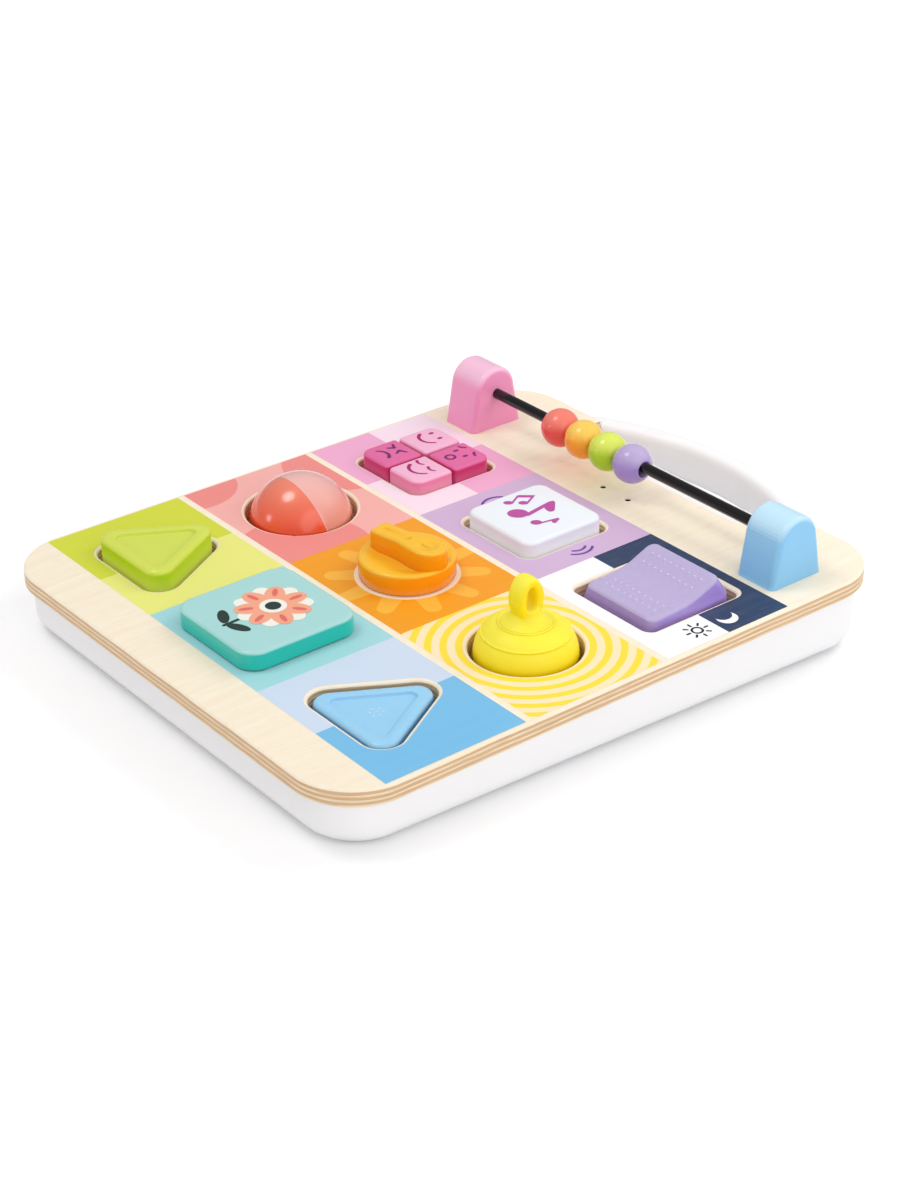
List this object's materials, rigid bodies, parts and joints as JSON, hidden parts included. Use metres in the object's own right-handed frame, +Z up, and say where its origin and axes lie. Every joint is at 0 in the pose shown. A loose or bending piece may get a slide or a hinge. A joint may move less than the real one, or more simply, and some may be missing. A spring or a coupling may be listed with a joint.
{
  "type": "busy board",
  "caption": "Sloped plywood play board on a moulded base with handle: press, turn, pull and rocker toys, see-saw buttons and sliding beads.",
  "frame": {"origin": "centre of the object's footprint, on the table", "axes": "+Z up, +Y towards the carrying handle, +X to the right for the child"},
  "size_m": [0.297, 0.3788, 0.0794],
  "materials": {
    "white_shell": "satin white moulding",
    "plywood": "sanded pale plywood with printed tiles",
    "foot_rubber": "grey rubber",
    "screw_steel": "zinc plated",
    "cell_sleeve": "sleeved cells",
    "circuit": "solder resist",
    "keypad_rubber": "soft silicone",
    "speaker_black": "black cone and frame",
    "pink_gloss": "gloss pink",
    "sky_gloss": "gloss light blue",
    "black_gloss": "gloss black",
    "bush_nylon": "natural nylon",
    "bead_red": "gloss red",
    "bead_orange": "gloss orange",
    "bead_lime": "gloss lime",
    "bead_lavender": "gloss lavender",
    "lime_gloss": "gloss green",
    "blue_gloss": "gloss blue",
    "teal_gloss": "gloss teal with a printed face",
    "dome_clear": "translucent coral",
    "dome_deep": "deep coral",
    "orange_gloss": "gloss orange",
    "yellow_silicone": "matt yellow silicone",
    "pale_pink": "gloss pale pink",
    "deep_pink": "gloss deep pink",
    "white_gloss": "gloss white with printed notes",
    "lilac_gloss": "gloss lilac"
  },
  "bodies": {
    "housing": {"base_tray": "white_shell", "upper_shell": "white_shell", "top_board": "plywood", "rubber_feet": "foot_rubber", "tray_screws": "screw_steel", "panel_screws": "screw_steel", "battery_door": "white_shell", "door_screw": "screw_steel", "battery_cells": "cell_sleeve", "battery_contacts": "screw_steel", "circuit_board": "circuit", "pcb_screws": "screw_steel", "button_pad": "keypad_rubber", "speaker": "speaker_black", "light_board": "circuit", "post_left": "pink_gloss", "post_right": "sky_gloss", "post_screws": "screw_steel", "abacus_rod": "black_gloss", "seesaw_pin": "screw_steel", "rocker_pin": "screw_steel", "spinner_bush": "bush_nylon", "knob_bush": "bush_nylon"},
    "green_button": {"green_triangle": "lime_gloss"},
    "blue_button": {"blue_triangle": "blue_gloss"},
    "lever": {"seesaw_lever": "bush_nylon"},
    "spinner": {"spinner_tile": "teal_gloss", "spinner_washer": "screw_steel", "spinner_screw": "screw_steel"},
    "knob": {"turn_knob": "orange_gloss", "knob_washer": "screw_steel", "knob_screw": "screw_steel"},
    "dome": {"dome_lens": "dome_clear", "dome_liner": "dome_deep"},
    "pull": {"silicone_pull": "yellow_silicone"},
    "smile": {"smile_button": "pale_pink"},
    "surprised": {"surprised_button": "deep_pink"},
    "grumpy": {"grumpy_button": "deep_pink"},
    "sleepy": {"sleepy_button": "pale_pink"},
    "music": {"music_button": "white_gloss"},
    "rocker": {"day_night_rocker": "lilac_gloss"},
    "red_bead": {"bead_red": "bead_red"},
    "orange_bead": {"bead_orange": "bead_orange"},
    "lime_bead": {"bead_lime": "bead_lime"},
    "lavender_bead": {"bead_lavender": "bead_lavender"}
  },
  "joints": [
    {"name": "green_press", "type": "slide", "parent": "housing", "child": "green_button", "axis": [0, -0.0314, 0.9995], "range_m": [-0.01, 0]},
    {"name": "blue_press", "type": "slide", "parent": "housing", "child": "blue_button", "axis": [0, -0.0314, 0.9995], "range_m": [0, 0.01]},
    {"name": "seesaw_tilt", "type": "hinge", "parent": "housing", "child": "lever", "pos_m": [0, -0.12155, 0.01182], "axis": [0, 0.9995, 0.0314], "range_deg": [-6.2, 0]},
    {"name": "spinner_spin", "type": "hinge", "parent": "housing", "child": "spinner", "pos_m": [0, -0.12432, 0.03635], "axis": [0, -0.0314, 0.9995], "continuous": true},
    {"name": "knob_turn", "type": "hinge", "parent": "housing", "child": "knob", "pos_m": [0, -0.03836, 0.03905], "axis": [0, -0.0314, 0.9995], "continuous": true},
    {"name": "dome_press", "type": "slide", "parent": "housing", "child": "dome", "axis": [0, -0.0314, 0.9995], "range_m": [-0.003, 0], "stiffness_N_per_m": 180, "springref_m": 0.004},
    {"name": "pull_lift", "type": "slide", "parent": "housing", "child": "pull", "axis": [0, -0.0314, 0.9995], "range_m": [0, 0.008], "stiffness_N_per_m": 120, "springref_m": -0.003},
    {"name": "smile_press", "type": "slide", "parent": "housing", "child": "smile", "axis": [0, -0.0314, 0.9995], "range_m": [-0.0035, 0], "stiffness_N_per_m": 180, "springref_m": 0.004},
    {"name": "surprised_press", "type": "slide", "parent": "housing", "child": "surprised", "axis": [0, -0.0314, 0.9995], "range_m": [-0.0035, 0], "stiffness_N_per_m": 180, "springref_m": 0.004},
    {"name": "grumpy_press", "type": "slide", "parent": "housing", "child": "grumpy", "axis": [0, -0.0314, 0.9995], "range_m": [-0.0035, 0], "stiffness_N_per_m": 180, "springref_m": 0.004},
    {"name": "sleepy_press", "type": "slide", "parent": "housing", "child": "sleepy", "axis": [0, -0.0314, 0.9995], "range_m": [-0.0035, 0], "stiffness_N_per_m": 180, "springref_m": 0.004},
    {"name": "music_press", "type": "slide", "parent": "housing", "child": "music", "axis": [0, -0.0314, 0.9995], "range_m": [-0.004, 0], "stiffness_N_per_m": 180, "springref_m": 0.004},
    {"name": "rocker_tilt", "type": "hinge", "parent": "housing", "child": "rocker", "pos_m": [0.0934, 0.04704, 0.02773], "axis": [1, 0, 0], "range_deg": [-18, 0]},
    {"name": "red_slide", "type": "slide", "parent": "housing", "child": "red_bead", "axis": [1, 0, 0], "range_m": [-0.045, 0]},
    {"name": "orange_slide", "type": "slide", "parent": "red_bead", "child": "orange_bead", "axis": [1, 0, 0], "range_m": [0, 0.0292]},
    {"name": "lime_slide", "type": "slide", "parent": "orange_bead", "child": "lime_bead", "axis": [1, 0, 0], "range_m": [0, 0.0292]},
    {"name": "lavender_slide", "type": "slide", "parent": "lime_bead", "child": "lavender_bead", "axis": [1, 0, 0], "range_m": [0, 0.0292]}
  ],
  "couplings": [
    {"joint": "blue_press", "follows": "green_press", "ratio": -1},
    {"joint": "seesaw_tilt", "follows": "green_press", "rad_per_m": 10.696}
  ]
}
